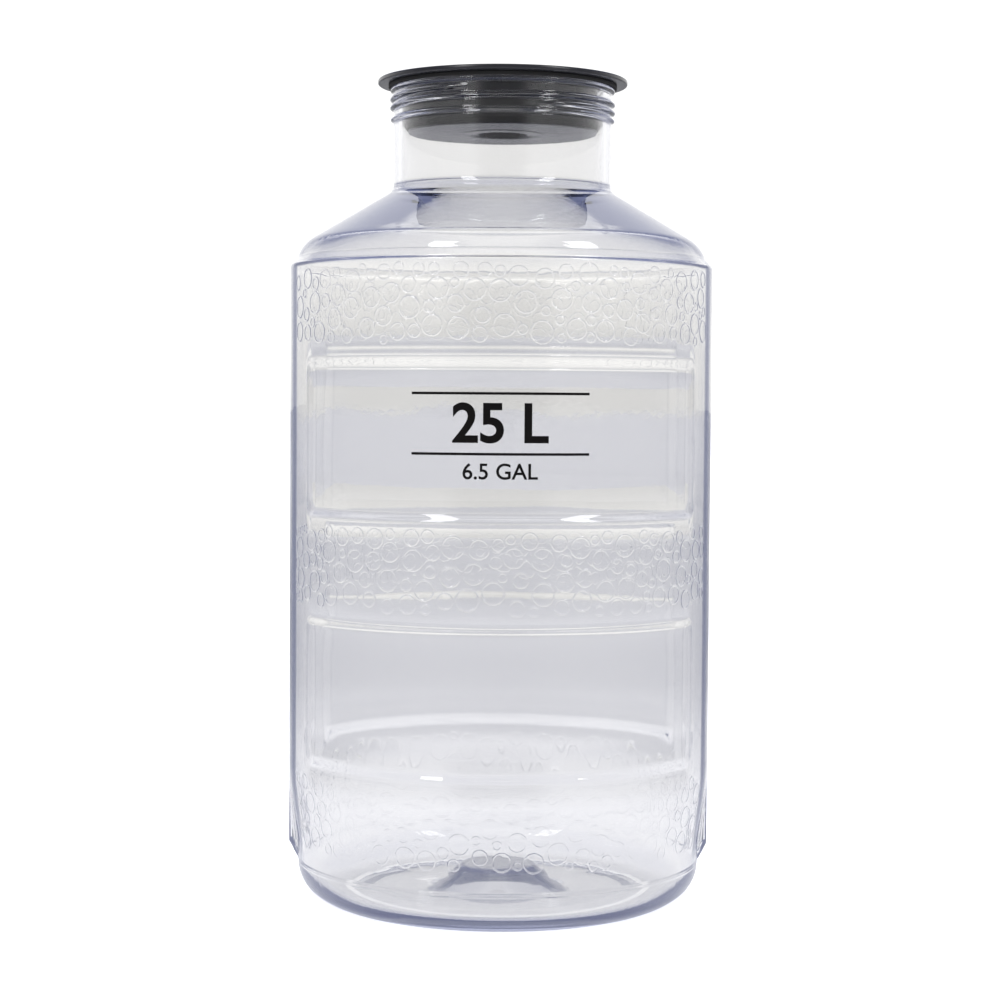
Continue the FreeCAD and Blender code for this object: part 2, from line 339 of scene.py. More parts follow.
def moulded(name, base, roughness, scuff, grain_scale, grain_depth, gloss_index):
    """Opaque moulded plastic, rubber or ink, with clouded gloss, pale scuffs and a fine grain."""
    material, tree = new_material(name)
    surface = uneven(tree, roughness, roughness / 2, scuff, grain_scale)
    bump = add(tree, "ShaderNodeBump", {"Strength": 0.3, "Distance": grain_depth, "Height": surface["Grain"]})
    paler = [c * 1.6 + 0.002 for c in base]
    shader = add(tree, "ShaderNodeBsdfPrincipled", {
        "Base Color": blend(tree, surface["Scuffs"], base, paler),
        "Roughness": surface["Roughness"],
        "IOR": gloss_index,
        "Normal": bump.outputs["Normal"],
    })
    add(tree, "ShaderNodeOutputMaterial", {"Surface": shader.outputs[0]})
    return material


def finish(name, lid):
    """The lid's plastic or the seals' rubber, made once."""
    if name in bpy.data.materials:
        return bpy.data.materials[name]
    if name == "black_plastic":
        return moulded(name, lid.plastic, 0.04, 0.02, 900.0, 0.01 * MM, 1.50)
    return moulded(name, lid.rubber, 0.30, 0.05, 1400.0, 0.04 * MM, 1.25)


# ---- mesh helpers ----
def placed_object(name, data):
    """An object in the scene that holds some data."""
    made = bpy.data.objects.new(name, data)
    bpy.context.scene.collection.objects.link(made)
    return made


def evaluated_mesh(holder):
    """The plain mesh that an object's modifiers or text make."""
    graph = bpy.context.evaluated_depsgraph_get()
    return bpy.data.meshes.new_from_object(holder.evaluated_get(graph))


def new_piece(name, mesh, body, material):
    """An object of the part, riding on its body, with its finish."""
    piece = placed_object(name, mesh)
    mesh.materials.clear()
    mesh.materials.append(material)
    mesh.polygons.foreach_set("use_smooth", [True] * len(mesh.polygons))
    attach(piece, body)
    return piece


def closed_mesh(name, bm):
    """The bmesh as a mesh, merged and facing outwards."""
    bmesh.ops.remove_doubles(bm, verts=bm.verts, dist=1e-7)
    loose = [e for e in bm.edges if len(e.link_faces) != 2]
    if loose:
        raise RuntimeError(f"{name} has {len(loose)} open edges, the first at {loose[0].verts[0].co[:]}")
    mesh = bpy.data.meshes.new(name)
    bm.to_mesh(mesh)
    bm.free()
    return mesh


def turned_mesh(name, path, columns):
    """A closed ring or disc: the path, in metres from the axis and up, goes round the outside."""
    bm = bmesh.new()
    angles = [math.tau * k / columns for k in range(columns)]
    rows = [[bm.verts.new((p.x * math.cos(a), p.x * math.sin(a), p.y)) for a in angles] for p in path]
    for here, above in zip(rows, rows[1:] + rows[:1]):
        for k in range(columns):
            after = (k + 1) % columns
            bm.faces.new([here[k], here[after], above[after], above[k]])
    return closed_mesh(name, bm)


def geometry_tree(name, inputs):
    """A Geometry Nodes tree with these named inputs, and each input's identifier."""
    tree = bpy.data.node_groups.new(name, "GeometryNodeTree")
    socket(tree, "Geometry", "NodeSocketGeometry")
    names = {key: socket(tree, key, "NodeSocket" + kind).identifier for key, kind in inputs}
    socket(tree, "Geometry", "NodeSocketGeometry", "OUTPUT")
    return tree, names


def end_tree(tree, instances, material):
    """Make the instances real, give them their material and hand them out."""
    real = add(tree, "GeometryNodeRealizeInstances", {0: instances})
    skin = add(tree, "GeometryNodeSetMaterial", {"Geometry": real.outputs[0], "Material": material})
    add(tree, "NodeGroupOutput", {0: skin.outputs[0]})


def rib_tree():
    """Geometry Nodes: upright ribs, evenly spread between two radii."""
    tree, names = geometry_tree("Radial ribs", (
        ("Count", "Int"), ("Inner Radius", "Float"), ("Outer Radius", "Float"), ("Thickness", "Float"),
        ("Bottom", "Float"), ("Top", "Float"), ("Material", "Material"),
    ))
    given = add(tree, "NodeGroupInput").outputs
    run = reckon(tree, "SUBTRACT", given["Outer Radius"], given["Inner Radius"])
    across = reckon(tree, "ADD", given["Outer Radius"], given["Inner Radius"])
    middle = reckon(tree, "MULTIPLY", across, 0.5)
    height = reckon(tree, "SUBTRACT", given["Top"], given["Bottom"])
    centre = reckon(tree, "MULTIPLY", reckon(tree, "ADD", given["Top"], given["Bottom"]), 0.5)
    step = reckon(tree, "DIVIDE", math.tau, given["Count"])
    size = add(tree, "ShaderNodeCombineXYZ", {"X": run, "Y": given["Thickness"], "Z": height})
    rib = add(tree, "GeometryNodeMeshCube", {"Size": size.outputs[0]})
    spread = {"Vertices": given["Count"], "Radius": middle}
    circle = add(tree, "GeometryNodeMeshCircle", spread, fill_type="NONE")
    index = add(tree, "GeometryNodeInputIndex").outputs[0]
    turn = add(tree, "ShaderNodeCombineXYZ", {"Z": reckon(tree, "MULTIPLY", index, step)})
    laid = add(tree, "GeometryNodeInstanceOnPoints", {
        "Points": circle.outputs["Mesh"], "Instance": rib.outputs["Mesh"], "Rotation": turn.outputs[0],
    })
    lift = add(tree, "ShaderNodeCombineXYZ", {"Z": centre})
    half_step = add(tree, "ShaderNodeCombineXYZ", {"Z": reckon(tree, "MULTIPLY", step, 0.5)})
    moved = add(tree, "GeometryNodeTransform", {
        "Geometry": laid.outputs["Instances"],
        "Translation": lift.outputs[0],
        "Rotation": half_step.outputs[0],
    })
    end_tree(tree, moved.outputs[0], given["Material"])
    return tree, names


def rib_mesh(lid, floor_height, material):
    """The ribs on the cup's floor, their edges softened, as one plain mesh."""
    tree, names = rib_tree()
    holder = placed_object("ribs", bpy.data.meshes.new("ribs"))
    modifier = holder.modifiers.new("ribs", "NODES")
    modifier.node_group = tree
    sizes = {
        "Count": lid.rib_count,
        "Inner Radius": lid.boss_radius - 0.6 * MM,
        "Outer Radius": lid.plug_radius - lid.plug_wall + 0.4 * MM,
        "Thickness": lid.rib_thickness,
        "Bottom": floor_height - 0.5 * MM,
        "Top": lid.rib_top,
        "Material": material,
    }
    for name, value in sizes.items():
        modifier[names[name]] = value
    soften = holder.modifiers.new("soften", "BEVEL")
    soften.width = 0.4 * MM
    soften.segments = 2
    mesh = evaluated_mesh(holder)
    holder.modifiers.clear()
    bpy.data.objects.remove(holder)
    return mesh


# ---- bottle ----
# heights in millimetres above the floor that the bottle stands on
PANELS = ((94.0, 106.0, 186.0, 198.0), (256.0, 264.0, 350.0, 364.0))  # foot, floor, floor and head of each
BANDS = ((40.5, 92.5), (199.5, 254.5), (365.5, 418.0))
BAND_RISES = (0.6, 1.0, 1.0)  # the rings stand lower on the bottom band
HEEL_TOP, BODY_BOTTOM, BODY_HEAD = 27.5, 38.5, 421.0
THREAD_START = -72.0  # degrees from +X
THREAD_FOOT, BEAD_HEIGHT, THREAD_HALF, THREAD_REACH = 521.5, 517.3, 1.9, 535.0
LIP_TOP = BOTTLE_HIGH[2] / MM


def from_middle(angle):
    """Degrees from the middle of the front or back face, for an angle from +X in radians."""
    return abs((math.degrees(angle) % 180.0) - 90.0)


def panel_share(bottle, angle, height):
    """How fully a point lies in a recessed panel, from 0 on the body to 1 on the panel's floor."""
    across = min(1.0, max(0.0, (bottle.panel_angle - from_middle(angle)) / bottle.side_slope))
    for foot, low, high, head in PANELS:
        if foot < height < head:
            rise = min((height - foot) / (low - foot), (head - height) / (head - high), 1.0)
            return smooth(1.0 - math.hypot(1.0 - rise, 1.0 - across))
    return 0.0


def thread_share(bottle, angle, height):
    """How far the thread or the bead below it rises at a point, from 0 to 1."""
    best = smooth(1.0 - abs(height - BEAD_HEIGHT) / 2.0) * 0.9
    for turn in range(math.ceil(bottle.thread_turns)):
        along = ((math.degrees(angle) - THREAD_START) % 360.0) / 360.0 + turn
        fade = smooth(along / 0.04) * smooth((bottle.thread_turns - along) / 0.04)
        if fade > 0:
            off = abs(height - THREAD_FOOT - bottle.thread_pitch / MM * along) / THREAD_HALF
            best = max(best, fade * smooth(1.35 - 1.25 * off))
    return best


def front_share(angle, half_angle):
    """1 within that many degrees of the middle of the front or back, and 0 past a short ramp beyond."""
    return smooth((half_angle + 2.0 - from_middle(angle)) / 2.0)


def foot_share(bottle, height):
    """How much of the heel's narrowness the front still has at a height, from 1 at the heel to 0."""
    return 1.0 - smooth((height - HEEL_TOP) / (bottle.front_foot / MM - HEEL_TOP))


def foot_depth(bottle, angle, height):
    """How far the sloped foot of the front and back lies inside the body, in millimetres."""
    narrower = (bottle.body_radius - bottle.heel_radius) / MM
    return narrower * foot_share(bottle, height) * front_share(angle, bottle.foot_angle)


def outer_radius(bottle, angle, radius, height):
    """Where the outside really lies, for a point of the plain outline in millimetres."""
    if HEEL_TOP < height < BODY_HEAD + 1.0 and radius > bottle.heel_radius / MM - 1.0:
        above_foot = 1.0 - foot_share(bottle, height)
        band = bottle.set_back / MM * front_share(angle, bottle.band_angle) * above_foot
        panel = bottle.panel_depth / MM * panel_share(bottle, angle, height)
        limit = bottle.body_radius / MM - foot_depth(bottle, angle, height) - max(band, panel)
        radius -= max(0.0, radius - limit) * smooth((BODY_HEAD - height) / 2.0)
    elif BEAD_HEIGHT - 5.0 < height < THREAD_REACH:
        radius += bottle.thread_height / MM * thread_share(bottle, angle, height)
    return radius


def inner_radius(bottle, angle, radius, height):
    """Where the inside really lies: the wall follows the front slope and the panels."""
    if HEEL_TOP < height < BANDS[-1][1]:
        limit = (bottle.body_radius - bottle.wall) / MM - foot_depth(bottle, angle, height)
        limit -= bottle.panel_depth / MM * panel_share(bottle, angle, height)
        radius = min(radius, limit)
    return radius


def wobble(bottle, place, salt):
    """Slow unevenness of the wall, only ever inwards, so that the size stays true."""
    wave = noise.noise(Vector((place.x / 38.0, place.y / 38.0, place.z / 60.0 + salt)))
    return bottle.waviness / MM * (wave - 0.6)


def point(bottle, angle, radius, height, salt):
    """A vertex of the skin, in metres; the mouth, the hump and the foot stay even, so that fits are true."""
    place = Vector((radius * math.cos(angle), radius * math.sin(angle), height))
    if 2.0 < height < 500.0 and radius > 30.0:
        scale = 1.0 + wobble(bottle, place, salt) / radius
        place.x *= scale
        place.y *= scale
    return place * MM


def column_angles(bottle):
    """Angles from +X of the columns of the bottle's skin: even, with more at the panels' side edges."""
    angles = set(range(0, 360, 3))
    for middle in (90, 270):
        for side in (-1, 1):
            edge = middle + side * bottle.panel_angle
            angles |= {edge - side * bottle.side_slope * k / 6 for k in range(7)}
            angles |= {middle + side * (bottle.band_angle + k) for k in range(3)}
            angles |= {middle + side * (bottle.foot_angle + k) for k in range(3)}
    return sorted(math.radians(a % 360) for a in {round(a, 4) for a in angles})


def outside_path(bottle):
    """The plain outline of the outside, bottom to lip, in millimetres."""
    body = bottle.body_radius / MM
    heel = bottle.heel_radius / MM
    neck = bottle.neck_radius / MM
    lower = rounded_path([
        (0, 16.5, 0), (22, 16.5, 5), (38, 2.4, 24), (86, 1.8, 15), (98, 0, 8),
        (114.7, 0, 33.0), (heel, 14.7, 23.0), (heel, HEEL_TOP, 6.0), (body, BODY_BOTTOM, 4.0),
        (body, 60.0, 0),
    ], math.radians(5))
    lower = [p for p in lower if p.y < BANDS[0][0]]
    upper = rounded_path([
        (body, 410.0, 0), (body, BODY_HEAD, 4.5), (135.0, 426.0, 4.0), (132.1, 434.8, 22), (neck, 470.6, 9),
        (neck, 512.0, 0),
    ], math.radians(5))
    upper = [p for p in upper if p.y > BANDS[-1][1]]
    levels = []
    for foot, low, high, head in PANELS:
        levels += [foot + (low - foot) * k / 8 for k in range(9)]
        levels += [low + (high - low) * k / 8 for k in range(1, 8)]
        levels += [high + (head - high) * k / 8 for k in range(9)]
    for bottom, top in BANDS:
        levels += [bottom + (top - bottom) * k / 10 for k in range(11)]
    sides = [Vector((body, z)) for z in sorted(levels)]
    threads = [Vector((neck, 512.0 + 0.55 * k)) for k in range(1, 42)]
    lip = rounded_path([
        (neck + 0.2, LIP_TOP - 3.1, 0), (neck + 2.2, LIP_TOP - 2.3, 0.6), (neck + 2.2, LIP_TOP, 1.2),
        (70.0, LIP_TOP, 0),
    ])
    return filled(lower, 6.0) + sides + filled(upper, 5.0) + threads + lip


def inside_path(bottle):
    """The outline of the inside, lip to base, in millimetres."""
    body = (bottle.body_radius - bottle.wall) / MM
    heel = bottle.heel_radius / MM
    mouth = bottle.mouth_radius / MM
    path = rounded_path([
        (70.0, LIP_TOP, 0), (mouth, LIP_TOP, 1.2), (mouth, 466.4, 8), (130.3, 433.3, 20),
        (133.2, 425.0, 4.0), (body, 420.2, 3.0), (body, 40.5, 4.0), (heel - 2.2, 29.5, 6.0),
        (heel - 2.2, 17.0, 20),
        (112.5, 4.4, 30), (41, 6.0, 22), (25, 22.0, 6), (0, 22.0, 0),
    ], math.radians(6))
    return filled(path, 10.0)


def pack_rings(rings, half_width, low, high, seed):
    """Centres and radii of rings packed in a flat strip, large ones first, none touching. Metres."""
    draw = random.Random(seed)
    edge = rings.ridge + 0.6 * MM
    cell = 2 * (rings.largest + rings.ridge) + rings.gap
    grid = {}
    placed = []
    last = rings.smallest / rings.largest
    rounds = ((1.0, 0.85, 400), (0.85, 0.66, 1200), (0.66, 0.5, 2600), (0.5, last, 4500))
    for most, least, tries in rounds:
        for _ in range(tries):
            radius = rings.largest * draw.uniform(least, most)
            room = radius + edge
            x = draw.uniform(room - half_width, half_width - room)
            y = draw.uniform(low + room, high - room)
            column, row = int(x // cell), int(y // cell)
            near = [q for i in (-1, 0, 1) for j in (-1, 0, 1) for q in grid.get((column + i, row + j), ())]
            apart = radius + 2 * rings.ridge + rings.gap
            if all((x - qx) ** 2 + (y - qy) ** 2 >= (apart + qr) ** 2 for qx, qy, qr in near):
                placed.append((x, y, radius))
                grid.setdefault((column, row), []).append((x, y, radius))
    return placed


def ring_outline_tree():
    """Geometry Nodes: on each point, three circles for the foot, crest and foot of a raised ring."""
    tree, names = geometry_tree("Bubble ring outlines", (
        ("Ridge Half Width", "Float"), ("Corners", "Int"), ("Material", "Material"),
    ))
    given = add(tree, "NodeGroupInput").outputs
    size = add(tree, "GeometryNodeInputNamedAttribute", {"Name": "ring_radius"}, data_type="FLOAT")
    spin = add(tree, "FunctionNodeRandomValue", {"Seed": 3}, data_type="FLOAT")
    turn = add(tree, "ShaderNodeCombineXYZ", {"Z": spin.outputs["Value"]})
    joined = add(tree, "GeometryNodeJoinGeometry")
    for way, crest in ((-1.0, 0.0), (0.0, 1.0), (1.0, 0.0)):
        circle = add(tree, "GeometryNodeMeshCircle", {"Vertices": given["Corners"]}, fill_type="NONE")
        marked = add(tree, "GeometryNodeStoreNamedAttribute", {
            "Geometry": circle.outputs["Mesh"], "Name": "crest", "Value": crest,
        }, data_type="FLOAT", domain="POINT")
        laid = add(tree, "GeometryNodeInstanceOnPoints", {
            "Points": given["Geometry"],
            "Instance": marked.outputs["Geometry"],
            "Scale": reckon(tree, "MULTIPLY_ADD", given["Ridge Half Width"], way, size.outputs["Attribute"]),
            "Rotation": turn.outputs[0],
        })
        tree.links.new(laid.outputs["Instances"], joined.inputs["Geometry"])
    end_tree(tree, joined.outputs[0], given["Material"])
    return tree, names


def ring_outlines(rings, placed, tree, names, material):
    """The flat outlines that the ring tree makes for one strip, as (points, crest values, edges)."""
    seedbed = bpy.data.meshes.new("ring_points")
    seedbed.from_pydata([(x, y, 0.0) for x, y, _ in placed], [], [])
    radii = seedbed.attributes.new("ring_radius", "FLOAT", "POINT")
    radii.data.foreach_set("value", [r for _, _, r in placed])
    holder = placed_object("ring_points", seedbed)
    modifier = holder.modifiers.new("rings", "NODES")
    modifier.node_group = tree
    modifier[names["Ridge Half Width"]] = rings.ridge
    modifier[names["Corners"]] = rings.corners
    modifier[names["Material"]] = material
    mesh = evaluated_mesh(holder)
    points = [v.co.xy for v in mesh.vertices]
    crest = [d.value for d in mesh.attributes["crest"].data]
    edges = [tuple(e.vertices) for e in mesh.edges]
    holder.modifiers.remove(modifier)
    bpy.data.objects.remove(holder)
    bpy.data.meshes.remove(mesh)
    bpy.data.meshes.remove(seedbed)
    return points, crest, edges


def textured_strip(rings, placed, outlines, columns, levels, stretch):
    """Triangles of a flat strip, in metres, that keeps every ring outline, with plain points between.

    Returns its points, their crest values, its faces and the edges at the rings' feet.
    """
    points, crest, edges = outlines
    border = [Vector((c * stretch, levels[0])) for c in columns]
    border += [Vector((columns[-1] * stretch, z)) for z in levels[1:]]
    border += [Vector((c * stretch, levels[-1])) for c in reversed(columns[:-1])]
    border += [Vector((columns[0] * stretch, z)) for z in reversed(levels[1:-1])]
    base = len(points)
    rim = [(base + k, base + (k + 1) % len(border)) for k in range(len(border))]
    plain = []
    for column in columns[1:-1]:
        for z in levels[1:-1]:
            off = (abs(math.hypot(x - column * stretch, y - z) - r) for x, y, r in placed)
            if min(off) > 2 * rings.ridge:
                plain.append(Vector((column * stretch, z)))
    cut = geometry.delaunay_2d_cdt(points + border + plain, edges + rim, [], 0, 1e-7)
    flat, faces, origins = cut[0], cut[2], cut[3]
    lifts = [max((crest[i] for i in origin if i < base), default=0.0) for origin in origins]
    now = {i: k for k, origin in enumerate(origins) for i in origin}
    feet = [(now[a], now[b]) for a, b in edges if crest[a] == 0.0]
    return flat, lifts, faces, feet


def bottle_mesh(bottle, rings, material):
    """The whole bottle as one closed skin: outside with panels, thread and raised rings, and the inside."""
    bm = bmesh.new()
    angles = column_angles(bottle)
    outside = outside_path(bottle)
    inside = inside_path(bottle)
    body = bottle.body_radius / MM

    def in_strip(a, b, low, high):
        """Whether a face of the grid lies where a textured strip will go."""
        if max(from_middle(a), from_middle(b), from_middle((a + b) / 2)) > bottle.band_angle + 1e-3:
            return False
        return any(low > bottom - 1e-3 and high < top + 1e-3 for bottom, top in BANDS)

    def rows(path, radius_at, salt):
        made = []
        for p in path:
            if p.x < 1e-6:
                made.append([bm.verts.new((0, 0, p.y * MM))] * len(angles))
                continue
            radii = [radius_at(bottle, a, p.x, p.y) for a in angles]
            made.append([bm.verts.new(point(bottle, a, r, p.y, salt)) for a, r in zip(angles, radii)])
        return made

    def skin(made, path, textured):
        for i in range(len(made) - 1):
            here, above = path[i], path[i + 1]
            on_body = textured and min(here.x, above.x) > body - 1e-3
            for k in range(len(angles)):
                after = (k + 1) % len(angles)
                a, b = angles[k], angles[after] + (math.tau if after == 0 else 0)
                if on_body and in_strip(a, b, here.y, above.y):
                    continue
                corners = []
                for v in (made[i][k], made[i][after], made[i + 1][after], made[i + 1][k]):
                    if v not in corners:
                        corners.append(v)
                if len(corners) > 2:
                    bm.faces.new(corners)

    skin(rows(outside, outer_radius, 0.0), outside, True)
    skin(rows(inside, inner_radius, 40.0), inside, False)

    tree, names = ring_outline_tree()
    stretch = bottle.body_radius - bottle.set_back
    limit = math.radians(bottle.band_angle)
    offsets = sorted(
        turned for turned in ((a + math.pi / 2 + math.pi) % math.tau - math.pi for a in angles)
        if abs(turned) < limit + 1e-4
    )
    for index, (low, high) in enumerate(BANDS):
        heights = {round(p.y, 4) for p in outside if low - 1e-3 < p.y < high + 1e-3 and p.x > body - 1e-3}
        levels = [z * MM for z in sorted(heights)]
        placed = pack_rings(rings, limit * stretch, levels[0], levels[-1], rings.seed + index)
        outlines = ring_outlines(rings, placed, tree, names, material)
        flat, lifts, faces, feet = textured_strip(rings, placed, outlines, offsets, levels, stretch)
        for middle in (-math.pi / 2, math.pi / 2):
            made = []
            for place, lift in zip(flat, lifts):
                angle = place.x / stretch + middle
                height = place.y / MM
                radius = outer_radius(bottle, angle, body, height)
                radius += rings.rise / MM * BAND_RISES[index] * lift
                made.append(bm.verts.new(point(bottle, angle, radius, height, 0.0)))
            for face in faces:
                bm.faces.new([made[i] for i in face])
            # a crease at each ring's foot keeps the plain wall between and inside the rings flat
            for a, b in feet:
                bm.edges.get((made[a], made[b])).smooth = False
    bmesh.ops.remove_doubles(bm, verts=bm.verts, dist=2e-6)
    return closed_mesh("bottle", bm)


class CARBOY_OT_bottle(bpy.types.Operator):
    """Build the clear bottle with its panels, thread and raised bubble rings"""

    bl_idname = "carboy.bottle"
    bl_label = "Build bottle"

    def execute(self, context):
        bottle = context.scene.carboy_bottle
        material = clear_plastic(bottle)
        mesh = bottle_mesh(bottle, context.scene.carboy_rings, material)
        piece = new_piece("carboy_bottle", mesh, "bottle", material)
        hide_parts("bottle")
        return {"FINISHED"}


class CARBOY_OT_lid(bpy.types.Operator):
    """Build the black plug lid with its ribs"""

    bl_idname = "carboy.lid"
    bl_label = "Build lid"

    def execute(self, context):
        lid = context.scene.carboy_lid
        material = finish("black_plastic", lid)
        low = LID_LOW[2]
        top = LID_HIGH[2]
        under = top - lid.flange_thickness
        inside = lid.plug_radius - lid.plug_wall
        path = rounded_path([
            (lid.hole_radius, low, 0),
            (lid.boss_radius + 4.5 * MM, low, 0.1 * MM),
            (lid.boss_radius + 5.0 * MM, low + 0.4 * MM, 0.1 * MM),
            (lid.plug_radius, low + 0.4 * MM, 0.8 * MM),
            (lid.plug_radius, under, 0.5 * MM),
            (lid.flange_radius, under, 0.9 * MM),
            (lid.flange_radius, top, 1.3 * MM),
            (inside, top, 1.4 * MM),
            (inside - 0.6 * MM, low + lid.plug_floor, 2.0 * MM),
            (lid.boss_radius, low + lid.plug_floor, 1.0 * MM),
            (lid.boss_radius, lid.boss_top, 1.0 * MM),
            (lid.hole_radius + lid.taper * (lid.boss_top - low), lid.boss_top, 0),
        ], math.radians(15))
        cup = new_piece("carboy_lid", turned_mesh("lid", path, 192), "lid", material)
        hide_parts("lid")
        ribs = rib_mesh(lid, low + lid.plug_floor, material)
        new_piece("carboy_lid_ribs", ribs, "lid", material)
        return {"FINISHED"}


class CARBOY_OT_seals(bpy.types.Operator):
    """Build the two gaskets and the drilled stopper"""

    bl_idname = "carboy.seals"
    bl_label = "Build gaskets and stopper"

    def execute(self, context):
        lid = context.scene.carboy_lid
        rubber = finish("black_rubber", lid)
        low, high = RIM_GASKET_LOW[2], RIM_GASKET_HIGH[2]
        rim = rounded_path([
            (lid.plug_radius + 0.3 * MM, low, 0),
            (RIM_GASKET_HIGH[0], low, 0.6 * MM),
            (RIM_GASKET_HIGH[0], high, 0.6 * MM),
            (lid.plug_radius + 0.3 * MM, high, 0),
        ], math.radians(18))
        low, high = PLUG_GASKET_LOW[2], PLUG_GASKET_HIGH[2]
        reach = PLUG_GASKET_HIGH[0]
        band = rounded_path([
            (lid.plug_radius, low, 0),
            (reach - 2.2 * MM, low, 0.5 * MM),
            (reach, low + 3.0 * MM, 1.5 * MM),
            (reach, high, 0.8 * MM),
            (lid.plug_radius, high, 0),
        ], math.radians(12))
        low, high = STOPPER_LOW[2], STOPPER_HIGH[2]
        wide = STOPPER_HIGH[0]
        bung = rounded_path([
            (lid.airlock_radius, low, 0),
            (wide - lid.taper * (high - low), low, 1.0 * MM),
            (wide, high, 1.2 * MM),
            (lid.airlock_radius, high, 0),
        ], math.radians(12))
        for node, body, path in (
            ("rim_gasket", "lid", rim), ("plug_gasket", "lid", band), ("stopper", "stopper", bung),
        ):
            piece = new_piece("carboy_" + node, turned_mesh(node, path, 160), body, rubber)
            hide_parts(node)
        return {"FINISHED"}


# ---- capacity mark ----
RULE = 1.6 * MM
RULE_HEIGHTS = (26.0 * MM, -11.0 * MM)  # from the mark's middle
CAPACITY_LINE = (25.0 * MM, 0.022, 8.0 * MM)  # height of its capitals, boldness, height from the middle
SECOND_LINE = (10.0 * MM, 0.012, -21.5 * MM)
SLICE = 3.0 * MM  # the flat mark is cut this often before it is wrapped round the bottle


def flat_words(words, cap_height, boldness):
    """Words as a flat filled mesh, centred, in metres, with capitals of that height."""
    curve = bpy.data.curves.new("words", "FONT")
    curve.body = words
    curve.align_x = "CENTER"
    curve.size = 1.0
    curve.offset = boldness
    curve.resolution_u = 6
    holder = placed_object("words", curve)
    mesh = evaluated_mesh(holder)
    bpy.data.objects.remove(holder)
    bpy.data.curves.remove(curve)
    heights = [v.co.y for v in mesh.vertices]
    across = [v.co.x for v in mesh.vertices]
    scale = cap_height / (max(heights) - min(heights))
    shift = Vector((-(min(across) + max(across)) / 2, -(min(heights) + max(heights)) / 2, 0))
    mesh.transform(Matrix.Scale(scale, 4) @ Matrix.Translation(shift))
    return mesh


def mark_mesh(mark, radius):
    """The printed mark as thin closed solids, wrapped on the front panel at that radius."""
    bm = bmesh.new()
    for words, (cap_height, boldness, rise) in ((mark.capacity, CAPACITY_LINE), (mark.second, SECOND_LINE)):
        mesh = flat_words(words, cap_height, boldness)
        mesh.transform(Matrix.Translation((0, rise, 0)))
        bm.from_mesh(mesh)
        bpy.data.meshes.remove(mesh)
    half = mark.width / 2
    for middle in RULE_HEIGHTS:
        corners = [(-half, -1), (half, -1), (half, 1), (-half, 1)]
        bm.faces.new([bm.verts.new((x, middle + way * RULE / 2, 0)) for x, way in corners])
    bmesh.ops.remove_doubles(bm, verts=bm.verts, dist=1e-6)
    for k in range(-int(half / SLICE), int(half / SLICE) + 1):
        everything = bm.verts[:] + bm.edges[:] + bm.faces[:]
        bmesh.ops.bisect_plane(bm, geom=everything, dist=1e-6, plane_co=(k * SLICE, 0, 0), plane_no=(1, 0, 0))
    bmesh.ops.triangulate(bm, faces=bm.faces)
    lifted = bmesh.ops.extrude_face_region(bm, geom=bm.faces[:])
    front = {v for v in lifted["geom"] if isinstance(v, bmesh.types.BMVert)}
    for v in bm.verts:
        out = radius + mark.ink_gap + (mark.ink_thickness if v in front else 0.0)
        angle = v.co.x / radius
        v.co = Vector((out * math.sin(angle), -out * math.cos(angle), mark.centre_height + v.co.y))
    bmesh.ops.recalc_face_normals(bm, faces=bm.faces)
    return closed_mesh("capacity_mark", bm)


class CARBOY_OT_mark(bpy.types.Operator):
    """Print the capacity on the upper front panel"""

    bl_idname = "carboy.mark"
    bl_label = "Print capacity mark"

    def execute(self, context):
        bottle = context.scene.carboy_bottle
        mark = context.scene.carboy_mark
        ink = moulded("black_ink", mark.ink, 0.35, 0.04, 2200.0, 0.01 * MM, 1.30)
        mesh = mark_mesh(mark, bottle.body_radius - bottle.panel_depth)
        piece = new_piece("carboy_capacity_mark", mesh, "bottle", ink)
        piece.data.polygons.foreach_set("use_smooth", [False] * len(piece.data.polygons))
        return {"FINISHED"}


# ---- stage ----
WHITE = (1.0, 1.0, 1.0)
FLOOR_REACH = 10.0  # metres from the axis over which the floor's glow changes
# painted light on the floor, seen only through the bottle: a bright painted pool near the bottle that falls
# off further away
FLOOR_PAINTED_GLOW = ((0.03, 0.86), (0.12, 0.30), (0.45, 0.27), (1.0, 0.42))  # share of that reach, glow


def area_light(name, place, power):
    """A tall soft light that looks at the bottle's middle and that the camera does not see."""
    lamp = bpy.data.lights.new(name, "AREA")
    lamp.shape = "RECTANGLE"
    lamp.size, lamp.size_y = 0.35, 0.9
    lamp.energy = power
    holder = placed_object(name, lamp)
    holder.location = place
    holder.rotation_euler = (Vector((0, 0, 0.25)) - Vector(place)).to_track_quat("-Z", "Y").to_euler()
    holder.visible_camera = False


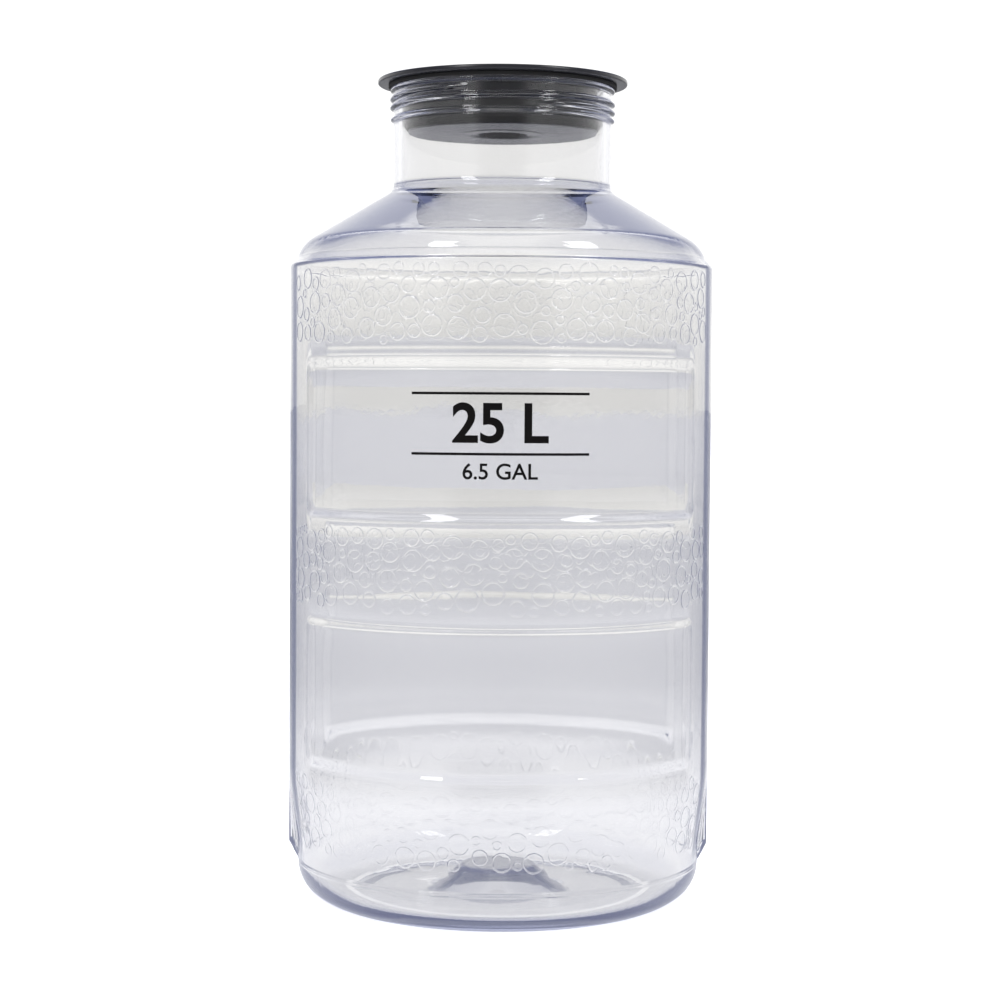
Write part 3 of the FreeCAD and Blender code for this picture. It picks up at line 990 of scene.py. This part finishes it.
def studio_world(stage):
    """A white studio: bright all round and in a strip overhead, dark high up on either side.

    Only reflections pick up the dark gap at the front, where the camera stands.
    """
    world = bpy.data.worlds.new("studio")
    world.use_nodes = True
    tree = world.node_tree
    tree.nodes.clear()
    way = add(tree, "ShaderNodeTexCoord").outputs["Generated"]
    parts = add(tree, "ShaderNodeSeparateXYZ", {0: way}).outputs
    ray = add(tree, "ShaderNodeLightPath").outputs
    high = level(tree, parts["Z"], 0.22, 0.50, 0.0, 1.0)
    aside = level(tree, reckon(tree, "ABSOLUTE", parts["X"]), 0.16, 0.42, 0.0, 1.0)
    brightness = level(tree, parts["Z"], 0.0, 0.11, stage.low_light, stage.high_light)
    overhead = level(tree, parts["Z"], 0.25, 0.60, 1.0, stage.overhead)
    inner_gap = level(tree, parts["Y"], -0.96, -0.82, stage.front_gap, 1.0)
    direct_gap = level(tree, parts["Y"], -0.30, 0.75, stage.direct_gap, 1.0)
    bounced = reckon(tree, "GREATER_THAN", ray["Glossy Depth"], 0.5)
    inside = reckon(tree, "GREATER_THAN", ray["Transmission Depth"], 0.5)
    gap = add(tree, "ShaderNodeMix", {0: inside, 2: direct_gap, 3: inner_gap}, data_type="FLOAT").outputs[0]
    left = add(tree, "ShaderNodeMix", {0: bounced, 2: 1.0, 3: gap}, data_type="FLOAT").outputs[0]
    tone = blend(tree, reckon(tree, "MULTIPLY", high, aside), WHITE, stage.dark_side)
    strength = reckon(tree, "MULTIPLY", reckon(tree, "MULTIPLY", brightness, overhead), left)
    lit = add(tree, "ShaderNodeBackground", {"Color": tone, "Strength": strength})
    seen = add(tree, "ShaderNodeBackground", {"Color": (*WHITE, 1.0), "Strength": stage.backdrop})
    add(tree, "ShaderNodeOutputWorld", {"Surface": shared(tree, ray["Is Camera Ray"], lit, seen).outputs[0]})
    # light from all round is found by following rays only, so that the reflections' gaps hold
    world.cycles.sampling_method = "NONE"
    bpy.context.scene.world = world


def floor_material():
    """Pale paper that glows a little, evenly for the camera; seen through the bottle it carries painted light
    and shade: a darker copy of the paper and a painted glow, bright near the bottle and less bright further
    off.
    """
    material, tree = new_material("pale_floor")
    place = add(tree, "ShaderNodeTexCoord").outputs["Object"]
    seen = add(tree, "ShaderNodeLightPath").outputs["Is Camera Ray"]
    paper = add(tree, "ShaderNodeTexNoise", {"Vector": place, "Scale": 40.0, "Detail": 4.0}).outputs["Fac"]
    # painted pool of light: seen through the bottle, the floor's glow falls off with distance from the bottle
    painted_falloff = add(tree, "ShaderNodeValToRGB", {
        "Fac": level(tree, distance(tree, place), 0.0, FLOOR_REACH, 0.0, 1.0, "LINEAR"),
    })
    stops = painted_falloff.color_ramp.elements
    stops[0].position, stops[1].position = FLOOR_PAINTED_GLOW[0][0], FLOOR_PAINTED_GLOW[1][0]
    for where, _ in FLOOR_PAINTED_GLOW[2:]:
        stops.new(where)
    for stop, (_, glow) in zip(stops, FLOOR_PAINTED_GLOW):
        stop.color = (glow, glow, glow, 1.0)
    sheet = blend(tree, paper, [0.90] * 3, [0.93] * 3)
    # seen through the bottle the paper is a darker copy of itself: painted shade
    shader = add(tree, "ShaderNodeBsdfPrincipled", {
        "Base Color": blend(tree, seen, [0.62] * 3, sheet),
        "Roughness": 0.8,
        "Emission Color": blend(tree, seen, painted_falloff.outputs["Color"], WHITE),
        "Emission Strength": 0.62,
    })
    add(tree, "ShaderNodeOutputMaterial", {"Surface": shader.outputs[0]})
    return material


class CARBOY_OT_stage(bpy.types.Operator):
    """Set out the pale floor, the soft studio light and the camera"""

    bl_idname = "carboy.stage"
    bl_label = "Set stage"

    def execute(self, context):
        stage = context.scene.carboy_stage
        floor = bpy.data.meshes.new("floor")
        half = 60.0
        corners = [(-half, -half, 0), (half, -half, 0), (half, half, 0), (-half, half, 0)]
        floor.from_pydata(corners, [], [range(4)])
        floor.materials.append(floor_material())
        placed_object("floor", floor)
        studio_world(stage)
        area_light("soft_left", (-0.80, -1.05, 1.25), stage.soft_box)
        area_light("soft_right", (1.00, -0.80, 1.25), stage.soft_box)
        camera = bpy.data.cameras.new("camera")
        camera.lens = stage.focal_length
        camera.sensor_width = 36.0
        camera.clip_start = 0.05
        holder = placed_object("camera", camera)
        tilt = Matrix.Rotation(math.radians(90.0 - stage.camera_pitch), 4, "X")
        roll = Matrix.Rotation(math.radians(stage.camera_roll), 4, "Z")
        place = Matrix.Translation((0.0, -stage.camera_distance, stage.camera_height))
        holder.matrix_world = place @ tilt @ roll
        context.scene.camera = holder
        context.scene.view_settings.view_transform = "Standard"
        return {"FINISHED"}


class CARBOY_PT_panel(bpy.types.Panel):
    bl_idname = "CARBOY_PT_panel"
    bl_label = "Carboy"
    bl_space_type = "VIEW_3D"
    bl_region_type = "UI"
    bl_category = "Carboy"

    def draw(self, context):
        for operator in OPERATORS:
            self.layout.operator(operator.bl_idname)
        for name, _ in SETTINGS:
            group = getattr(context.scene, name)
            box = self.layout.box()
            for key in group.bl_rna.properties.keys():
                if key not in ("rna_type", "name"):
                    box.prop(group, key)


OPERATORS = (CARBOY_OT_stage, CARBOY_OT_bottle, CARBOY_OT_mark, CARBOY_OT_lid, CARBOY_OT_seals)
SETTINGS = (
    ("carboy_bottle", CarboyBottleSettings),
    ("carboy_rings", CarboyRingSettings),
    ("carboy_mark", CarboyPrintSettings),
    ("carboy_lid", CarboyLidSettings),
    ("carboy_stage", CarboyStageSettings),
)


def register():
    for _, group in SETTINGS:
        bpy.utils.register_class(group)
    for operator in OPERATORS:
        bpy.utils.register_class(operator)
    bpy.utils.register_class(CARBOY_PT_panel)
    for name, group in SETTINGS:
        setattr(bpy.types.Scene, name, bpy.props.PointerProperty(type=group))


def unregister():
    for name, _ in SETTINGS:
        delattr(bpy.types.Scene, name)
    bpy.utils.unregister_class(CARBOY_PT_panel)
    for operator in reversed(OPERATORS):
        bpy.utils.unregister_class(operator)
    for _, group in reversed(SETTINGS):
        bpy.utils.unregister_class(group)


def main():
    register()
    bpy.ops.carboy.stage()
    bpy.ops.carboy.bottle()
    bpy.ops.carboy.mark()
    bpy.ops.carboy.lid()
    bpy.ops.carboy.seals()


if __name__ == "__main__":
    main()
